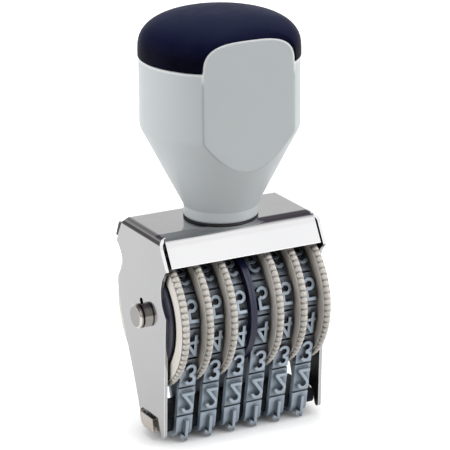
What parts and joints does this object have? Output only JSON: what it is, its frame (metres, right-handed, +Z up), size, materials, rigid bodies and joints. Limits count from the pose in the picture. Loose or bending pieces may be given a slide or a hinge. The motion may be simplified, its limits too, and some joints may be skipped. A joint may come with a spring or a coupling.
{
  "type": "numbering machine",
  "caption": "Hand numbering stamp: rubber type bands, each turned by a beaded thumb wheel, in a bent sheet-steel frame under a round handle with a domed cap.",
  "frame": {"origin": "under the middle of the bounding box, in the plane of the digits that print", "axes": "+Z up through the handle, the longest extent; +X along the axle, towards wheel 6; -Y towards the flat front panel of the handle"},
  "size_m": [0.0466, 0.0372, 0.0994],
  "materials": {
    "plated_sheet": "bright plated sheet steel, with soft wear at the bends",
    "bright_steel": "bright turned and milled steel",
    "handle_grey": "satin moulded plastic, light cool grey",
    "cap_navy": "glossy moulded plastic, near-black navy",
    "washer_black": "matt black",
    "wheel_ivory": "satin moulded ivory plastic",
    "band_rubber": "matt moulded rubber, blue-grey",
    "divider_navy": "satin dark blue plastic",
    "spacer_dark": "satin dark blue plastic"
  },
  "bodies": {
    "machine": {"frame": "plated_sheet", "axle": "bright_steel", "platen": "bright_steel", "handle_body": "handle_grey", "handle_cap": "cap_navy", "handle_washer": "washer_black", "handle_screw": "bright_steel", "type_band_1": "band_rubber", "type_band_2": "band_rubber", "type_band_3": "band_rubber", "type_band_4": "band_rubber", "type_band_5": "band_rubber", "type_band_6": "band_rubber", "band_divider_left": "divider_navy", "band_divider_right": "divider_navy", "side_spacer_left": "spacer_dark", "side_spacer_right": "spacer_dark"},
    "wheel_1": {"thumb_wheel_1": "wheel_ivory"},
    "wheel_2": {"thumb_wheel_2": "wheel_ivory"},
    "wheel_3": {"thumb_wheel_3": "wheel_ivory"},
    "wheel_4": {"thumb_wheel_4": "wheel_ivory"},
    "wheel_5": {"thumb_wheel_5": "wheel_ivory"},
    "wheel_6": {"thumb_wheel_6": "wheel_ivory"}
  },
  "joints": [
    {"name": "wheel_1_turn", "type": "hinge", "parent": "machine", "child": "wheel_1", "pos_m": [0, -0.00133, 0.0297], "axis": [1, 0, 0], "continuous": true},
    {"name": "wheel_2_turn", "type": "hinge", "parent": "machine", "child": "wheel_2", "pos_m": [0, -0.00133, 0.0297], "axis": [1, 0, 0], "continuous": true},
    {"name": "wheel_3_turn", "type": "hinge", "parent": "machine", "child": "wheel_3", "pos_m": [0, -0.00133, 0.0297], "axis": [1, 0, 0], "continuous": true},
    {"name": "wheel_4_turn", "type": "hinge", "parent": "machine", "child": "wheel_4", "pos_m": [0, -0.00133, 0.0297], "axis": [1, 0, 0], "continuous": true},
    {"name": "wheel_5_turn", "type": "hinge", "parent": "machine", "child": "wheel_5", "pos_m": [0, -0.00133, 0.0297], "axis": [1, 0, 0], "continuous": true},
    {"name": "wheel_6_turn", "type": "hinge", "parent": "machine", "child": "wheel_6", "pos_m": [0, -0.00133, 0.0297], "axis": [1, 0, 0], "continuous": true}
  ]
}
